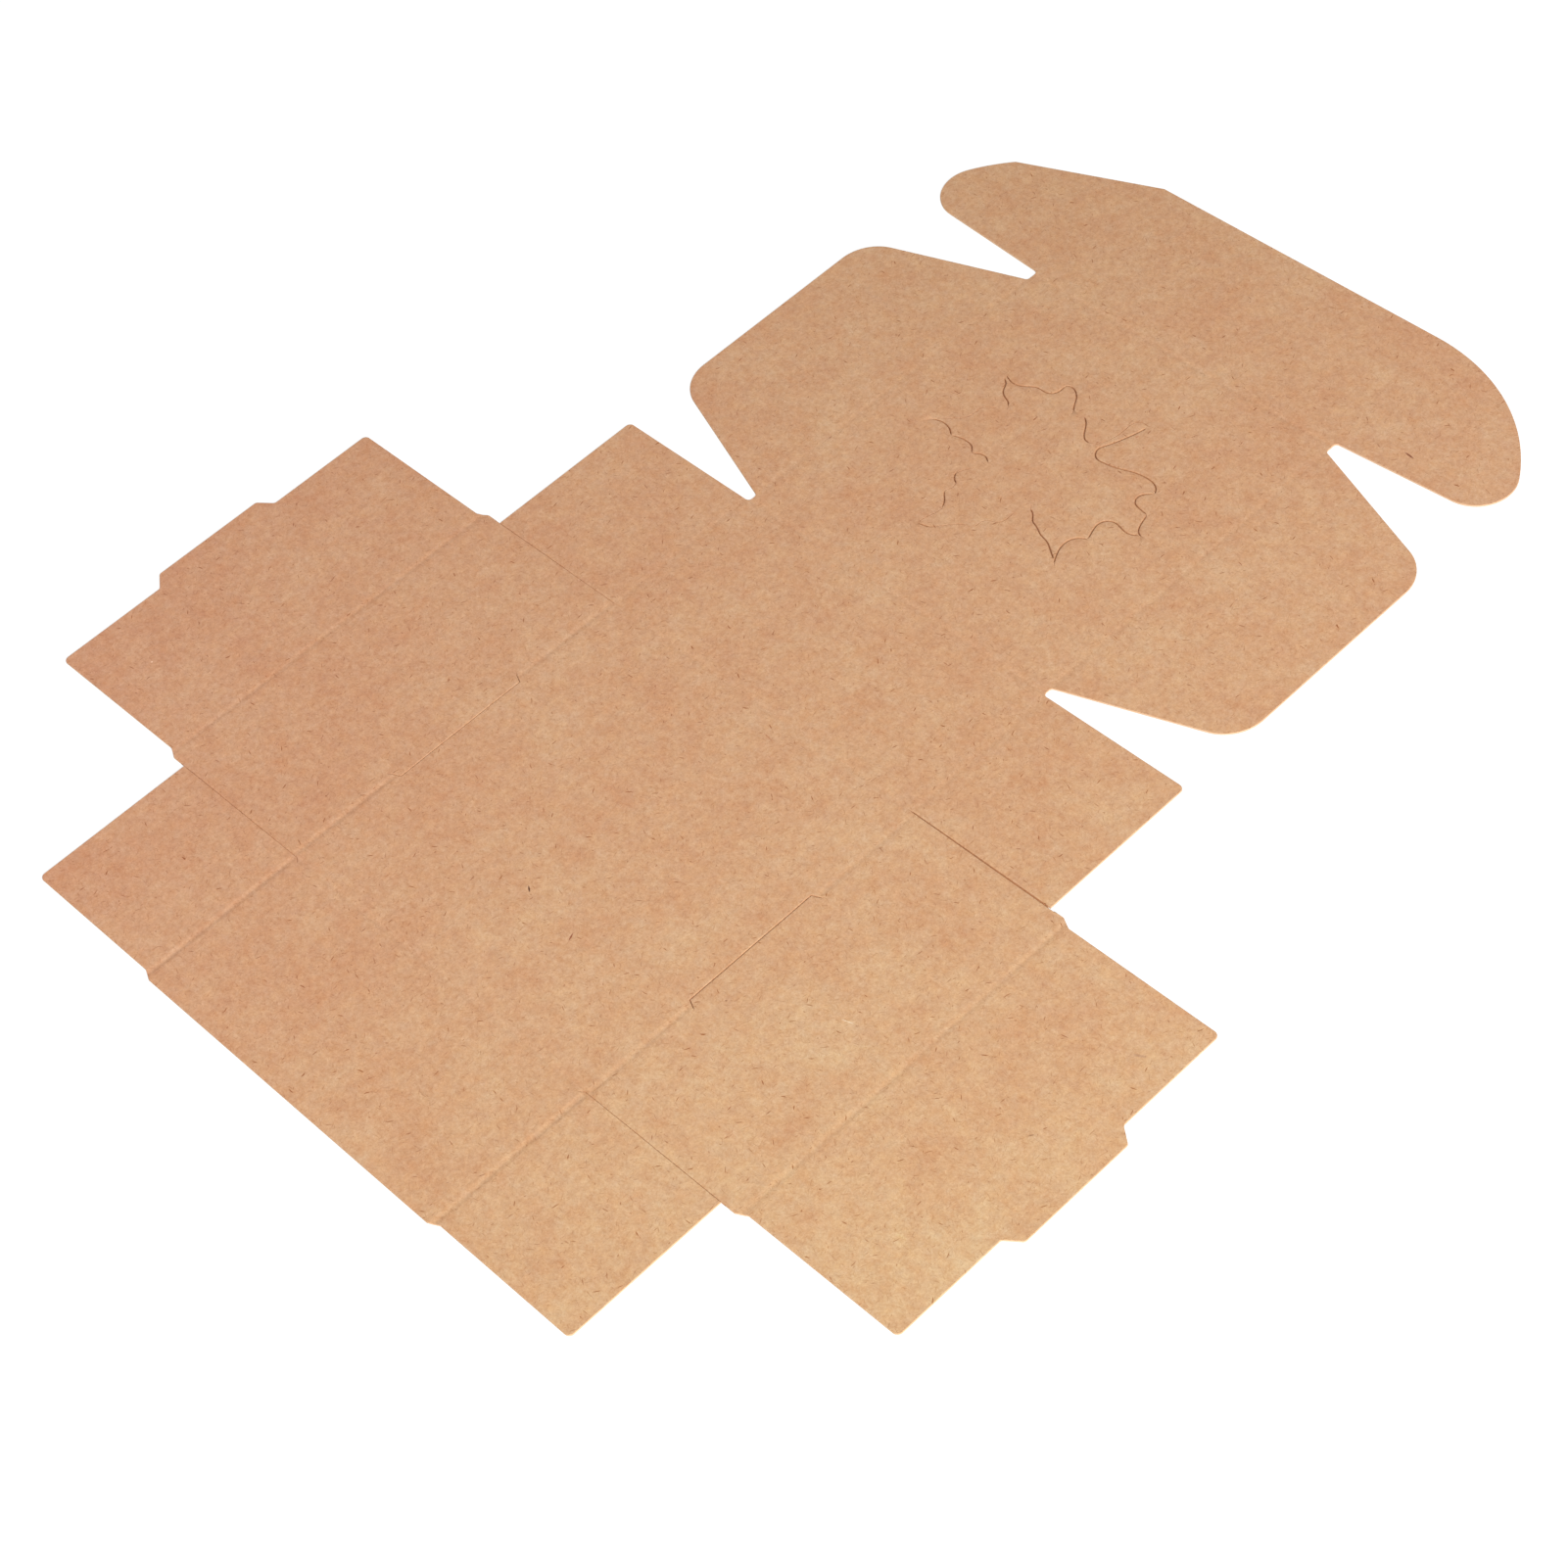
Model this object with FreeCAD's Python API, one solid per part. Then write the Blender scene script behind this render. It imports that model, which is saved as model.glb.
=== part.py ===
import FreeCAD, Part
import math
import os

V = FreeCAD.Vector

# Flat die-cut blank of a small roll-end mailer box: one sheet of thin kraft card, lying with
# its outside face up. Millimetres, +Z up. The origin is on the underside, at the centre of
# the bottom panel. +X runs towards a side wall and +Y towards the lid and its tuck flap.

# The box, measured between creases
bottom_width = 81.0
bottom_length = 80.0
box_depth = 35.0
lid_length = 80.5
card = 0.5

# Side walls: an outer wall, a crease that rolls over, and an inner wall with a tab
roll_allowance = 2.6
inner_allowance = 0.8
inner_inset = 1.2
roll_taper = 2.3
tab_reach = 3.2
tab_base = 29.6
tab_taper = 2.4
tab_fillet = 0.8

# Slots in the bottom that take the tabs
slot_clearance = 0.1
slot_setback = 1.1
slot_flare = 0.9

# Corner flaps beside the front and back walls
flap_width = 33.7
front_flap_inset = 1.1
front_flap_taper = 2.3
back_flap_inset = 0.4

# Lid wings
wing_setback = 1.3
wing_width = 34.8
wing_start = 1.7
wing_slope = 19.5
wing_fillet = 9.0

# Tuck flap, with an ear at each end; the left ear's shoulder is cut off straight
ear_start = 1.2
ear_slope = 4.0
ear_corner = 39.7
ear_side_angle = 58.5
ear_tip_radius = 8.0
shoulder_cut = 30.0

# Fillets of the cut outline
notch_fillet = 0.9
corner_fillet = 1.1

# Cuts and creases
slit_width = 0.3
slit_hook = 1.2
hook_angle = 35.0
slit_overlap = 0.3
crease_width = 1.5
crease_depth = 0.12
crease_gap = 0.6
slot_gap = 0.5
run_out = 1.0

# Leaf cut into the lid, held in by the gaps between its cuts
leaf_width = 52.8
leaf_cut_width = 0.22
leaf_score_depth = 0.15

# Derived positions
wall_height = box_depth + card
front_crease = -bottom_length / 2
back_crease = bottom_length / 2
lid_crease = back_crease + wall_height
tuck_crease = lid_crease + lid_length
tuck_edge = tuck_crease + wall_height
front_edge = front_crease - wall_height
side_crease = bottom_width / 2
flap_crease = side_crease - card
wing_crease = side_crease - wing_setback
roll_crease = side_crease + box_depth + roll_allowance
side_edge = roll_crease + box_depth + inner_allowance
tab_edge = side_edge + tab_reach
flap_edge = flap_crease + flap_width
wing_edge = wing_crease + wing_width
slot_line = side_crease - slot_setback
slot_half = tab_base / 2 + slot_clearance
slot_end = slot_half + slot_flare + slot_gap
slit_open = flap_edge + run_out
slit_end = flap_crease - slit_overlap

# Derived shape of the ear: its shoulder arc fills the side between the tuck edge and the tip
ear_x = wing_crease + ear_corner
ear_y = tuck_crease + ear_start + (ear_x - wing_crease) * math.tan(math.radians(ear_slope))
ear_side = (tuck_edge - ear_y) / math.sin(math.radians(ear_side_angle))
shoulder_x = ear_x - ear_side * math.cos(math.radians(ear_side_angle))
tip_tangent = ear_tip_radius / math.tan(math.radians((ear_side_angle + ear_slope) / 2))
shoulder_tangent = ear_side - tip_tangent - 0.1
shoulder_radius = shoulder_tangent / math.tan(math.radians(ear_side_angle / 2))


def outline(corners):
    """Closed wire through (x, y, radius) corners, each rounded by its radius."""
    edges = []
    ends = []
    for i, (x, y, radius) in enumerate(corners):
        corner = V(x, y, 0)
        before = V(*corners[i - 1][:2], 0)
        after = V(*corners[(i + 1) % len(corners)][:2], 0)
        if radius == 0:
            ends.append((corner, corner, None))
            continue
        back = (before - corner).normalize()
        ahead = (after - corner).normalize()
        half = back.getAngle(ahead) / 2
        reach = radius / math.tan(half)
        middle = (back + ahead).normalize() * (radius / math.sin(half) - radius)
        ends.append((corner + back * reach, corner + ahead * reach, corner + middle))
    for i, (start, end, middle) in enumerate(ends):
        if middle is not None:
            edges.append(Part.Arc(start, middle, end).toShape())
        edges.append(Part.makeLine(end, ends[(i + 1) % len(ends)][0]))
    return Part.Wire(edges)


def slit(points):
    """Through cut of the kerf's width along straight runs, mitred where they meet."""
    path = [V(x, y, -card) for x, y in points]
    sides = ([], [])
    for i, point in enumerate(path):
        ahead = (path[min(i + 1, len(path) - 1)] - path[min(i, len(path) - 2)]).normalize()
        back = (path[max(i, 1)] - path[max(i - 1, 0)]).normalize()
        across = V(-ahead.y - back.y, ahead.x + back.x, 0).normalize()
        half_width = slit_width / 2 / math.cos(ahead.getAngle(back) / 2)
        sides[0].append(point + across * half_width)
        sides[1].insert(0, point - across * half_width)
    corners = sides[0] + sides[1]
    return Part.Face(Part.makePolygon(corners + corners[:1])).extrude(V(0, 0, 3 * card))


def crease(x1, y1, x2, y2):
    """Pressed groove in the outside face: a shallow arc in section."""
    radius = (crease_width ** 2 / 4 + crease_depth ** 2) / (2 * crease_depth)
    start = V(x1, y1, card - crease_depth + radius)
    run = V(x2 - x1, y2 - y1, 0)
    return Part.makeCylinder(radius, run.Length, start, run)


def leaf_cut(points, bottom):
    """Cut along a smooth curve through the points, from the outside face down to bottom."""
    scale = leaf_width / (leaf_right - leaf_left)
    centre = V(0, (lid_crease + tuck_crease) / 2, bottom)
    curve = Part.BSplineCurve()
    curve.interpolate([centre + V(x, y, 0) * scale for x, y in points])
    steps = 3 * (len(points) - 1)
    sides = ([], [])
    for i in range(steps + 1):
        u = curve.FirstParameter + (curve.LastParameter - curve.FirstParameter) * i / steps
        along = curve.tangent(u)[0]
        across = V(-along.y, along.x, 0) * (leaf_cut_width / 2)
        sides[0].append(curve.value(u) + across)
        sides[1].append(curve.value(u) - across)
    edges = []
    for side in sides:
        edge = Part.BSplineCurve()
        edge.interpolate(side)
        edges.append(edge.toShape())
    edges.append(Part.makeLine(sides[0][0], sides[1][0]))
    edges.append(Part.makeLine(sides[0][-1], sides[1][-1]))
    face = Part.Face(Part.Wire(Part.__sortEdges__(edges)))
    return face.extrude(V(0, 0, 2 * card - bottom))


# Leaf, as drawn about the lid's centre: one list of points per cut
leaf_cuts = [
    [(8.0, 21.7), (7.7, 20.5), (6.5, 16.9), (5.0, 13.4), (4.5, 12.2), (4.6, 11.4), (5.1, 10.5),
     (6.5, 9.8), (7.9, 9.9), (9.8, 10.2), (13.8, 11.5), (17.9, 12.0), (20.0, 11.3), (21.0, 10.0)],
    [(20.8, 9.5), (19.6, 8.5), (19.1, 7.2), (19.6, 5.9), (21.9, 5.1), (23.3, 4.9)],
    [(23.7, 4.5), (24.0, 3.5), (24.6, 1.6), (25.5, 0.4), (26.4, 0.0)],
    [(25.8, -0.2), (25.0, -0.7), (23.9, -1.0), (21.5, -0.6), (20.0, -0.5), (18.7, -1.2),
     (18.0, -2.7), (18.3, -4.5), (19.0, -6.5)],
    [(18.9, -6.9), (17.2, -8.1), (16.5, -9.6), (16.5, -11.4), (17.3, -13.6), (18.2, -15.2)],
    [(17.3, -14.5), (15.0, -13.0), (13.4, -12.1), (11.2, -11.5), (9.0, -10.4), (7.7, -9.9),
     (6.5, -8.6), (5.3, -7.9)],
    [(1.9, 12.1), (0.8, 12.3), (-0.8, 13.9), (-2.4, 16.0), (-3.3, 16.7)],
    [(-6.3, 16.7), (-6.9, 17.4), (-8.2, 19.5), (-10.1, 21.1), (-11.2, 21.3), (-12.0, 20.9)],
    [(-12.2, 20.4), (-12.3, 18.6), (-12.9, 17.6), (-14.2, 17.1), (-16.3, 17.0), (-19.1, 15.4),
     (-21.3, 15.0), (-23.2, 15.6)],
    [(-23.1, 14.8), (-22.2, 14.2), (-21.1, 12.3), (-19.9, 11.3), (-18.1, 10.5), (-17.5, 9.9)],
    [(-26.3, -2.0), (-25.2, -1.6), (-23.6, -1.5), (-22.2, -1.9), (-20.8, -2.9)],
    [(-20.3, -3.0), (-19.0, -2.5), (-17.2, -2.3), (-15.6, -2.6), (-14.3, -3.8)],
    [(-13.7, -3.9), (-12.7, -3.3), (-11.2, -3.1), (-10.0, -3.8)],
    [(-12.7, -9.9), (-12.3, -10.7), (-11.7, -11.3), (-10.8, -11.8)],
    [(-10.9, -15.0), (-10.2, -15.7), (-9.3, -16.6), (-8.5, -17.9)],
    [(-8.8, -24.0), (-7.7, -23.7), (-6.7, -23.4)],
]
# Stretches where the knife only scored the face
leaf_scores = [
    [(3.3, 12.5), (4.5, 15.0), (5.1, 19.0), (5.5, 21.8), (6.4, 22.5), (7.9, 22.5)],
    [(-18.8, 7.8), (-20.8, 6.4), (-21.3, 5.4)],
    [(-21.2, 4.4), (-21.5, 2.6), (-22.9, 1.0), (-26.0, -1.4)],
    [(-10.9, -6.6), (-11.7, -7.9), (-12.4, -9.2)],
    [(-10.6, -12.3), (-10.5, -13.2), (-11.0, -14.4)],
    [(-8.2, -18.5), (-8.3, -19.6), (-8.9, -21.6), (-9.2, -23.4)],
    [(-6.0, -22.8), (-4.2, -20.8), (-2.9, -19.5), (-1.6, -18.7)],
    [(-0.8, -18.7), (0.0, -17.9), (0.2, -16.4), (1.0, -15.1)],
    [(1.6, -14.9), (2.9, -14.2), (3.5, -12.6), (3.4, -10.8)],
]
leaf_left = min(x for cut in leaf_cuts for x, y in cut)
leaf_right = max(x for cut in leaf_cuts for x, y in cut)

# Right half of the outline, from the front edge round to the tuck edge
wing_rise = (wing_edge - wing_crease) * math.tan(math.radians(wing_slope))
right_half = [
    (flap_crease - front_flap_taper / 2, front_edge, 0),
    (flap_crease + front_flap_taper / 2, front_edge + front_flap_inset, 0),
    (flap_edge, front_edge + front_flap_inset, corner_fillet),
    (flap_edge, front_crease, 0),
    (roll_crease - roll_taper / 2, front_crease, 0),
    (roll_crease + roll_taper / 2, front_crease + inner_inset, 0),
    (side_edge, front_crease + inner_inset, corner_fillet),
    (side_edge, -tab_base / 2, tab_fillet),
    (tab_edge, tab_taper - tab_base / 2, tab_fillet),
    (tab_edge, tab_base / 2 - tab_taper, tab_fillet),
    (side_edge, tab_base / 2, tab_fillet),
    (side_edge, back_crease - inner_inset, corner_fillet),
    (roll_crease + roll_taper / 2, back_crease - inner_inset, 0),
    (roll_crease - roll_taper / 2, back_crease, 0),
    (flap_edge, back_crease, 0),
    (flap_edge, lid_crease - back_flap_inset, corner_fillet),
    (wing_crease, lid_crease - back_flap_inset, notch_fillet),
    (wing_crease, lid_crease + wing_start, notch_fillet),
    (wing_edge, lid_crease + wing_start + wing_rise, wing_fillet),
    (wing_edge, tuck_crease - wing_start - wing_rise, wing_fillet),
    (wing_crease, tuck_crease - wing_start, notch_fillet),
    (wing_crease, tuck_crease + ear_start, notch_fillet),
    (ear_x, ear_y, ear_tip_radius),
    (shoulder_x, tuck_edge, shoulder_radius),
]
left_half = [(-x, y, radius) for x, y, radius in reversed(right_half)]
sheet = Part.Face(outline(right_half + left_half)).extrude(V(0, 0, card))

# Straight cut across the left ear's shoulder, from where its arc begins
arc_start = -(shoulder_x - shoulder_tangent)
arc_drop = shoulder_radius - math.sqrt(shoulder_radius ** 2 - shoulder_cut ** 2)
cut_start = V(arc_start + 0.5, tuck_edge, -card)
cut_end = V(arc_start - shoulder_cut, tuck_edge - arc_drop, -card)
beyond = (cut_end - cut_start) * 0.2
corners = [
    cut_start - beyond,
    cut_end + beyond,
    cut_end + beyond + V(0, wall_height, 0),
    cut_start - beyond + V(0, wall_height, 0),
]
waste = Part.Face(Part.makePolygon(corners + corners[:1])).extrude(V(0, 0, 3 * card))

# Cuts and creases of the right half, then the same ones mirrored
hook_x = slit_hook * math.cos(math.radians(hook_angle))
hook_y = slit_hook * math.sin(math.radians(hook_angle))
cuts = [
    slit([(slit_open, front_crease), (slit_end, front_crease),
          (slit_end - hook_x, front_crease - hook_y)]),
    slit([(slit_open, back_crease), (slit_end, back_crease)]),
    slit([(side_crease + slot_flare, slot_half + slot_flare), (slot_line, slot_half),
          (slot_line, -slot_half), (side_crease + slot_flare, -slot_half - slot_flare)]),
]
creases = [
    crease(side_crease, front_crease + crease_gap, side_crease, -slot_end),
    crease(side_crease, slot_end, side_crease, back_crease - crease_gap),
    crease(roll_crease, front_crease - run_out, roll_crease, back_crease + run_out),
    crease(flap_crease, front_edge - run_out, flap_crease, front_crease - crease_gap),
    crease(flap_crease, back_crease + crease_gap, flap_crease, lid_crease + run_out),
    crease(wing_crease, lid_crease + wing_start - run_out,
           wing_crease, tuck_crease - wing_start + run_out),
]
mirrored = [tool.mirror(V(0, 0, 0), V(1, 0, 0)) for tool in cuts + creases]

# Creases right across, which fold up the front wall, back wall, lid and tuck flap
slit_gap = slit_end - crease_gap
across = [
    crease(-slit_gap, front_crease, slit_gap, front_crease),
    crease(-slit_gap, back_crease, slit_gap, back_crease),
    crease(-wing_crease, lid_crease, wing_crease, lid_crease),
    crease(-wing_crease, tuck_crease, wing_crease, tuck_crease),
]
leaf = [leaf_cut(points, -card) for points in leaf_cuts]
leaf += [leaf_cut(points, card - leaf_score_depth) for points in leaf_scores]

box_blank = sheet.cut([waste] + cuts + creases + mirrored + across + leaf)
box_blank = box_blank.Solids[0] if len(box_blank.Solids) == 1 else box_blank

os.makedirs("parts", exist_ok=True)
box_blank.exportStep("parts/box_blank.step")
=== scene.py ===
import math

import bpy
import numpy as np
from mathutils import Matrix, Vector, noise
from mathutils.bvhtree import BVHTree
from mathutils.geometry import delaunay_2d_cdt
from mathutils.kdtree import KDTree


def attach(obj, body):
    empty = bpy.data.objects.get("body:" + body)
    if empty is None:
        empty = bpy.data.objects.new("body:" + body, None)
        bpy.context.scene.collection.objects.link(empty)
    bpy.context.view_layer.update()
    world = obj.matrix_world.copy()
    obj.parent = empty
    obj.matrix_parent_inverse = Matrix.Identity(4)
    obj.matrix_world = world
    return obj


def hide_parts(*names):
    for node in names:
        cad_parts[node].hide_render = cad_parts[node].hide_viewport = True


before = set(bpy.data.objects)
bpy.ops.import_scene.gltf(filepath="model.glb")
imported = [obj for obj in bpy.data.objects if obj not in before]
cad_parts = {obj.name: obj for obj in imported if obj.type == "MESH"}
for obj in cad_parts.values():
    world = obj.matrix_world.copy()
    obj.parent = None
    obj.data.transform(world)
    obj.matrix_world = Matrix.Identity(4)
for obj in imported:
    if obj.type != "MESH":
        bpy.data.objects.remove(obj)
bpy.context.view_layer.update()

# Flat die-cut kraft blank of a small roll-end mailer box, outside face up. Shapes are worked out
# in millimetres, in the frame's axes, and the finished mesh is scaled to metres.
MM = 0.001

# The box, measured between creases
BOTTOM_WIDTH = 81.0
BOTTOM_LENGTH = 80.0
BOX_DEPTH = 35.0
LID_LENGTH = 80.5
CARD = 0.5

# Side walls: an outer wall, a crease that rolls over, and an inner wall with a tab
ROLL_ALLOWANCE = 2.6
INNER_ALLOWANCE = 0.8
INNER_INSET = 1.2
ROLL_TAPER = 2.3
TAB_REACH = 3.2
TAB_BASE = 29.6
TAB_TAPER = 2.4
TAB_FILLET = 0.8

# Slots in the bottom that take the tabs
SLOT_CLEARANCE = 0.1
SLOT_SETBACK = 1.1
SLOT_FLARE = 0.9

# Corner flaps beside the front and back walls
FLAP_WIDTH = 33.7
FRONT_FLAP_INSET = 1.1
FRONT_FLAP_TAPER = 2.3
BACK_FLAP_INSET = 0.4

# Lid wings
WING_SETBACK = 1.3
WING_WIDTH = 34.8
WING_START = 1.7
WING_SLOPE = 19.5
WING_FILLET = 9.0

# Tuck flap, with an ear at each end; the left ear's shoulder is cut off straight
EAR_START = 1.2
EAR_SLOPE = 4.0
EAR_CORNER = 39.7
EAR_SIDE_ANGLE = 58.5
EAR_TIP_RADIUS = 8.0
EAR_STRAIGHT = 0.1
SHOULDER_CUT = 30.0
SHOULDER_START = 0.5

# Fillets of the cut outline
NOTCH_FILLET = 0.9
CORNER_FILLET = 1.1

# Cuts and creases
SLIT_HOOK = 1.2
HOOK_ANGLE = 35.0
SLIT_OVERLAP = 0.3
CREASE_DEPTH = 0.12
CREASE_GAP = 0.6
SLOT_GAP = 0.5
RUN_OUT = 1.0
LEAF_WIDTH = 52.8
LEAF_SCORE_DEPTH = 0.15

# How wide the knife cuts stand open on the face. The slits are at the right front, right back,
# left front and left back, and are SLIT_SPREAD times as wide at the sheet's edge as at their
# closed ends. The slots are the right one and the left one.
SLIT_WIDTHS = (0.036, 0.13, 0.025, 0.034)
SLIT_SPREAD = 2.0
SLOT_WIDTHS = (0.12, 0.075)
LEAF_CUT_WIDTH = 0.19

# A cut is pointed at its closed ends, and narrows to almost nothing at the underside. What lies
# within RIM_REACH of its sides is one of its walls.
KNIFE_TAPER = 0.4
POINT_BLUNTNESS = 0.15
KERF_CLOSING = 0.995
RIM_REACH = 0.19

# The card dips beside a cut, and painted shade darkens its lips, both as the square of how far
# the cut is open; painted shade also lines the cut's rims on the underside
CUT_SPREAD = 0.35
CUT_PRESS = 0.065
WIDE_CUT = 0.2
# Strength of the painted shade on an open cut's lips, and on the cut's rims underneath
FACE_LIP_SHADE = 0.7
UNDERSIDE_LIP_SHADE = 0.6

# Rounded edges, beads under the creases, and plies of the cut edge, which the solid doesn't have;
# the plies' noise would start from the clock without its seed
EDGE_ROUND = 0.08
BEAD_HEIGHT = 0.06
PLY_SHIFT = 0.02
PLY_WAVES = 0.2
PLY_APART = 40.0
PLY_SEED = 1

# A crease is a rounded groove of uneven strength: length, share and seed of each of its waves
CREASE_SPREAD = 1.0
CREASE_UNEVENNESS = 0.4
CREASE_WAVES = [(9.0, 1.0, 5.0), (2.5, 0.6, 9.0)]

# Where the mesh has lines beside edges, cuts, creases and scored strokes, and their spacing;
# the scored strokes' are in halves of a stroke's width, and the walls' in shares of the card
ROUND_STEPS = (0.03, 0.08, 0.2)
CUT_STEPS = (0.08, 0.2, 0.35)
CREASE_STEPS = (-1.5, -1.0, -0.8, -0.6, -0.4, -0.2, 0, 0.2, 0.4, 0.6, 0.8, 1.0, 1.5)
SCORE_STEPS = (-5, -2.5, -1.5, -1, -0.5, 0, 0.5, 1, 1.5, 2.5, 5)
WALL_LEVELS = (0, 0.2, 0.42, 0.6, 0.8, 1)
GRID_STEP = 2.4
CREASE_STEP = 2.0
LONGEST_STEP = 1.2
SLIT_STEP = 0.8
FINE_STEP = 0.4
FEWEST_ARC_STEPS = 6
FEWEST_STROKE_STEPS = 4
MITRE_LIMIT = 0.4
WELD = 1e-4
SHARP_ANGLE = 60.0

# The piece's own texture map, in shares of its square: the outside face is large, the underside
# small, and the cut edges run in rows above them
MAP_NAME = "OFBake"
MAP_MARGIN = 0.004
OUTSIDE_SCALE = 0.00322
UNDERSIDE_SCALE = 0.00098
UNDERSIDE_CORNER = (0.766, 0.004)
ROW_START = 0.868
ROW_LENGTH = 0.74
ROW_PITCH = 0.0115
ROW_HEIGHT = 0.006

# Positions that follow from the box
WALL_HEIGHT = BOX_DEPTH + CARD
FRONT_CREASE = -BOTTOM_LENGTH / 2
BACK_CREASE = BOTTOM_LENGTH / 2
LID_CREASE = BACK_CREASE + WALL_HEIGHT
TUCK_CREASE = LID_CREASE + LID_LENGTH
TUCK_EDGE = TUCK_CREASE + WALL_HEIGHT
FRONT_EDGE = FRONT_CREASE - WALL_HEIGHT
SIDE_CREASE = BOTTOM_WIDTH / 2
FLAP_CREASE = SIDE_CREASE - CARD
WING_CREASE = SIDE_CREASE - WING_SETBACK
ROLL_CREASE = SIDE_CREASE + BOX_DEPTH + ROLL_ALLOWANCE
SIDE_EDGE = ROLL_CREASE + BOX_DEPTH + INNER_ALLOWANCE
TAB_EDGE = SIDE_EDGE + TAB_REACH
FLAP_EDGE = FLAP_CREASE + FLAP_WIDTH
WING_EDGE = WING_CREASE + WING_WIDTH
SLOT_LINE = SIDE_CREASE - SLOT_SETBACK
SLOT_HALF = TAB_BASE / 2 + SLOT_CLEARANCE
SLOT_END = SLOT_HALF + SLOT_FLARE + SLOT_GAP
SLIT_OPEN = FLAP_EDGE + RUN_OUT
SLIT_END = FLAP_CREASE - SLIT_OVERLAP

# Leaf in the lid, as drawn about the lid's centre: through cuts, then strokes that are only scored
LEAF_CUTS = [
    [(8.0, 21.7), (7.7, 20.5), (6.5, 16.9), (5.0, 13.4), (4.5, 12.2), (4.6, 11.4), (5.1, 10.5),
     (6.5, 9.8), (7.9, 9.9), (9.8, 10.2), (13.8, 11.5), (17.9, 12.0), (20.0, 11.3), (21.0, 10.0)],
    [(20.8, 9.5), (19.6, 8.5), (19.1, 7.2), (19.6, 5.9), (21.9, 5.1), (23.3, 4.9)],
    [(23.7, 4.5), (24.0, 3.5), (24.6, 1.6), (25.5, 0.4), (26.4, 0.0)],
    [(25.8, -0.2), (25.0, -0.7), (23.9, -1.0), (21.5, -0.6), (20.0, -0.5), (18.7, -1.2),
     (18.0, -2.7), (18.3, -4.5), (19.0, -6.5)],
    [(18.9, -6.9), (17.2, -8.1), (16.5, -9.6), (16.5, -11.4), (17.3, -13.6), (18.2, -15.2)],
    [(17.3, -14.5), (15.0, -13.0), (13.4, -12.1), (11.2, -11.5), (9.0, -10.4), (7.7, -9.9),
     (6.5, -8.6), (5.3, -7.9)],
    [(1.9, 12.1), (0.8, 12.3), (-0.8, 13.9), (-2.4, 16.0), (-3.3, 16.7)],
    [(-6.3, 16.7), (-6.9, 17.4), (-8.2, 19.5), (-10.1, 21.1), (-11.2, 21.3), (-12.0, 20.9)],
    [(-12.2, 20.4), (-12.3, 18.6), (-12.9, 17.6), (-14.2, 17.1), (-16.3, 17.0), (-19.1, 15.4),
     (-21.3, 15.0), (-23.2, 15.6)],
    [(-23.1, 14.8), (-22.2, 14.2), (-21.1, 12.3), (-19.9, 11.3), (-18.1, 10.5), (-17.5, 9.9)],
    [(-26.3, -2.0), (-25.2, -1.6), (-23.6, -1.5), (-22.2, -1.9), (-20.8, -2.9)],
    [(-20.3, -3.0), (-19.0, -2.5), (-17.2, -2.3), (-15.6, -2.6), (-14.3, -3.8)],
    [(-13.7, -3.9), (-12.7, -3.3), (-11.2, -3.1), (-10.0, -3.8)],
    [(-12.7, -9.9), (-12.3, -10.7), (-11.7, -11.3), (-10.8, -11.8)],
    [(-10.9, -15.0), (-10.2, -15.7), (-9.3, -16.6), (-8.5, -17.9)],
    [(-8.8, -24.0), (-7.7, -23.7), (-6.7, -23.4)],
]
LEAF_SCORES = [
    [(3.3, 12.5), (4.5, 15.0), (5.1, 19.0), (5.5, 21.8), (6.4, 22.5), (7.9, 22.5)],
    [(-18.8, 7.8), (-20.8, 6.4), (-21.3, 5.4)],
    [(-21.2, 4.4), (-21.5, 2.6), (-22.9, 1.0), (-26.0, -1.4)],
    [(-10.9, -6.6), (-11.7, -7.9), (-12.4, -9.2)],
    [(-10.6, -12.3), (-10.5, -13.2), (-11.0, -14.4)],
    [(-8.2, -18.5), (-8.3, -19.6), (-8.9, -21.6), (-9.2, -23.4)],
    [(-6.0, -22.8), (-4.2, -20.8), (-2.9, -19.5), (-1.6, -18.7)],
    [(-0.8, -18.7), (0.0, -17.9), (0.2, -16.4), (1.0, -15.1)],
    [(1.6, -14.9), (2.9, -14.2), (3.5, -12.6), (3.4, -10.8)],
]


def unit(vector):
    """The same direction, of length 1."""
    return vector / np.linalg.norm(vector)


def rounded(corners):
    """Points of an outline through (x, y, radius) corners, each rounded by its radius."""
    points = []
    for i, (x, y, radius) in enumerate(corners):
        corner = np.array((x, y))
        if radius == 0:
            points.append(corner)
            continue
        back = unit(np.array(corners[i - 1][:2]) - corner)
        ahead = unit(np.array(corners[(i + 1) % len(corners)][:2]) - corner)
        half = math.acos(np.clip(back @ ahead, -1, 1)) / 2
        centre = corner + unit(back + ahead) * radius / math.sin(half)
        start = corner + back * radius / math.tan(half) - centre
        side = math.copysign(1, ahead[0] * back[1] - ahead[1] * back[0])
        turn = side * (math.pi - 2 * half)
        steps = max(FEWEST_ARC_STEPS, math.ceil(abs(turn) * radius / FINE_STEP))
        for k in range(steps + 1):
            c, s = math.cos(turn * k / steps), math.sin(turn * k / steps)
            turned = np.array((c * start[0] - s * start[1], s * start[0] + c * start[1]))
            points.append(centre + turned)
    return points


def spaced(points, longest, closed=False):
    """The same line with its long runs divided."""
    points = [np.array(p, float) for p in points]
    found = []
    for a, b in zip(points, points[1:] + points[:1] if closed else points[1:]):
        steps = max(1, math.ceil(np.linalg.norm(b - a) / longest))
        found += [a + (b - a) * k / steps for k in range(steps)]
    return found if closed else found + [points[-1]]


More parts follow.
